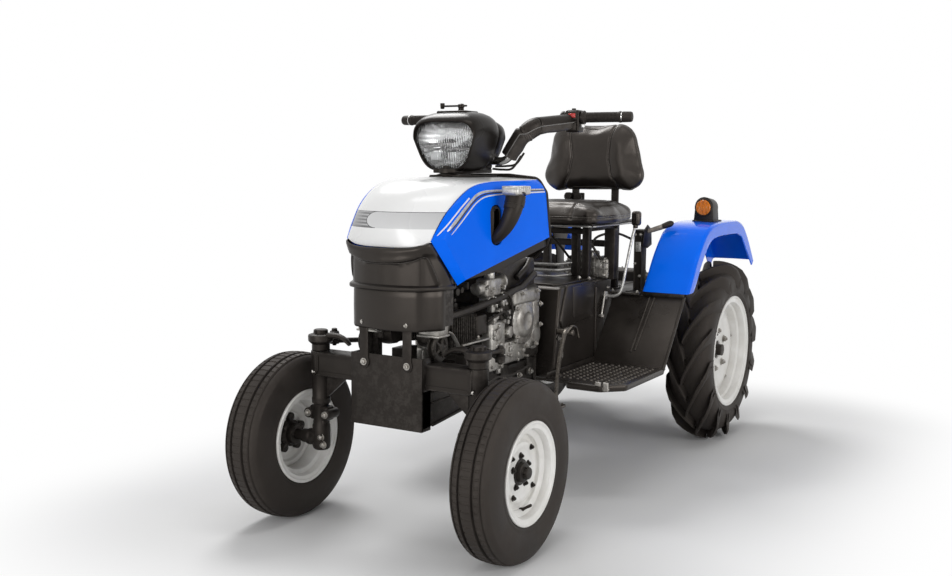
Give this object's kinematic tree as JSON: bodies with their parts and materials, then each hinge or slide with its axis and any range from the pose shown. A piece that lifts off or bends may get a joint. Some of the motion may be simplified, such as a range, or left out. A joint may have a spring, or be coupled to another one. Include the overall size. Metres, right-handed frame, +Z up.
{
  "type": "compact ride-on tractor",
  "caption": "Compact ride-on tractor with handlebar steering, blue and white hood, single seat, lugged rear tyres and a rear three-point hitch.",
  "frame": {"origin": "on the ground under the middle of the machine's length and width", "axes": "+Z up, +X to the tractor's left, +Y to its rear, so the hood faces -Y"},
  "size_m": [0.864, 2.178, 1.13],
  "materials": {
    "tyre_rubber": "worn matt rubber",
    "rim_paint": "off-white gloss paint",
    "chassis_black": "satin black paint",
    "plastic_black": "black moulded plastic, faint grain",
    "grip_rubber": "black ribbed grip rubber",
    "bar_chrome": "bright plated steel",
    "lamp_glass": "clear lamp glass",
    "indicator_amber": "amber lens",
    "cast_aluminium": "rough cast aluminium",
    "cast_iron": "black painted casting",
    "pto_steel": "machined steel",
    "hood_white": "white gloss paint",
    "body_blue": "azure blue gloss paint",
    "seat_vinyl": "black glossy vinyl"
  },
  "bodies": {
    "chassis": {"centre_cover": "plastic_black", "column_plate": "chassis_black", "engine_block": "cast_aluminium", "fender_left": "body_blue", "fender_right": "body_blue", "fender_stays": "chassis_black", "footboard_left": "plastic_black", "footboard_right": "plastic_black", "front_axle_beam": "chassis_black", "front_frame": "chassis_black", "front_guard": "chassis_black", "gearbox": "cast_iron", "grille_bezel": "plastic_black", "hand_levers": "bar_chrome", "hood_bulkhead": "plastic_black", "hood_top": "hood_white", "indicator_cases": "plastic_black", "indicator_lenses": "indicator_amber", "lift_housing": "cast_iron", "pedals": "chassis_black", "radiator": "chassis_black", "radiator_cover": "plastic_black", "rear_axle": "cast_iron", "seat_back": "seat_vinyl", "seat_cushion": "seat_vinyl", "seat_frame": "chassis_black", "side_duct": "plastic_black", "side_panel_left": "body_blue", "side_panel_right": "body_blue"},
    "handlebar": {"steering_column": "chassis_black", "handlebar": "bar_chrome", "bar_shrouds": "plastic_black", "grips": "grip_rubber", "switch_boxes": "plastic_black", "headlamp_pod": "plastic_black", "headlamp_lens": "lamp_glass"},
    "tie_rod_left": {"tie_rod_left": "chassis_black"},
    "tie_rod_right": {"tie_rod_right": "chassis_black"},
    "knuckle_left": {"knuckle_left": "chassis_black"},
    "knuckle_right": {"knuckle_right": "chassis_black"},
    "front_wheel_left": {"front_tyre_left": "tyre_rubber", "front_rim_left": "rim_paint"},
    "front_wheel_right": {"front_tyre_right": "tyre_rubber", "front_rim_right": "rim_paint"},
    "rear_wheel_left": {"rear_tyre_left": "tyre_rubber", "rear_rim_left": "rim_paint"},
    "rear_wheel_right": {"rear_tyre_right": "tyre_rubber", "rear_rim_right": "rim_paint"},
    "lift_arms": {"lift_arms": "chassis_black"},
    "lift_rods": {"lift_rods": "chassis_black"},
    "lower_links": {"lower_links": "chassis_black"},
    "pto_shaft": {"pto_shaft": "pto_steel"}
  },
  "joints": [
    {"name": "steer", "type": "hinge", "parent": "chassis", "child": "handlebar", "pos_m": [0, -0.624, 0.7], "axis": [0, 0, 1], "range_deg": [-35, 35]},
    {"name": "knuckle_left", "type": "hinge", "parent": "chassis", "child": "knuckle_left", "pos_m": [0.243, -0.864, 0.4], "axis": [0, 0, 1], "range_deg": [-35, 35]},
    {"name": "tie_rod_left", "type": "hinge", "parent": "handlebar", "child": "tie_rod_left", "pos_m": [0.017, -0.544, 0.478], "axis": [0, 0, 1], "range_deg": [-35, 35]},
    {"name": "front_wheel_left", "type": "hinge", "parent": "knuckle_left", "child": "front_wheel_left", "pos_m": [0.3415, -0.864, 0.225], "axis": [1, 0, 0], "continuous": true},
    {"name": "knuckle_right", "type": "hinge", "parent": "chassis", "child": "knuckle_right", "pos_m": [-0.243, -0.864, 0.4], "axis": [0, 0, 1], "range_deg": [-35, 35]},
    {"name": "tie_rod_right", "type": "hinge", "parent": "handlebar", "child": "tie_rod_right", "pos_m": [-0.017, -0.544, 0.478], "axis": [0, 0, 1], "range_deg": [-35, 35]},
    {"name": "front_wheel_right", "type": "hinge", "parent": "knuckle_right", "child": "front_wheel_right", "pos_m": [-0.3415, -0.864, 0.225], "axis": [1, 0, 0], "continuous": true},
    {"name": "rear_wheel_left", "type": "hinge", "parent": "chassis", "child": "rear_wheel_left", "pos_m": [0.352, 0.599, 0.315], "axis": [1, 0, 0], "continuous": true},
    {"name": "rear_wheel_right", "type": "hinge", "parent": "chassis", "child": "rear_wheel_right", "pos_m": [-0.352, 0.599, 0.315], "axis": [1, 0, 0], "continuous": true},
    {"name": "lift", "type": "hinge", "parent": "chassis", "child": "lift_arms", "pos_m": [0, 0.566, 0.545], "axis": [1, 0, 0], "range_deg": [-16, 24]},
    {"name": "lower_links", "type": "hinge", "parent": "chassis", "child": "lower_links", "pos_m": [0, 0.679, 0.3], "axis": [1, 0, 0], "range_deg": [-16, 24]},
    {"name": "lift_rods", "type": "hinge", "parent": "lift_arms", "child": "lift_rods", "pos_m": [0, 0.796, 0.545], "axis": [1, 0, 0], "range_deg": [-24, 16]},
    {"name": "pto", "type": "hinge", "parent": "chassis", "child": "pto_shaft", "pos_m": [0, 0.699, 0.4], "axis": [0, 1, 0], "continuous": true}
  ],
  "couplings": [
    {"joint": "knuckle_left", "follows": "steer", "ratio": 1},
    {"joint": "knuckle_right", "follows": "steer", "ratio": 1},
    {"joint": "tie_rod_left", "follows": "steer", "ratio": -1},
    {"joint": "tie_rod_right", "follows": "steer", "ratio": -1},
    {"joint": "lower_links", "follows": "lift", "ratio": 1},
    {"joint": "lift_rods", "follows": "lift", "ratio": -1}
  ]
}
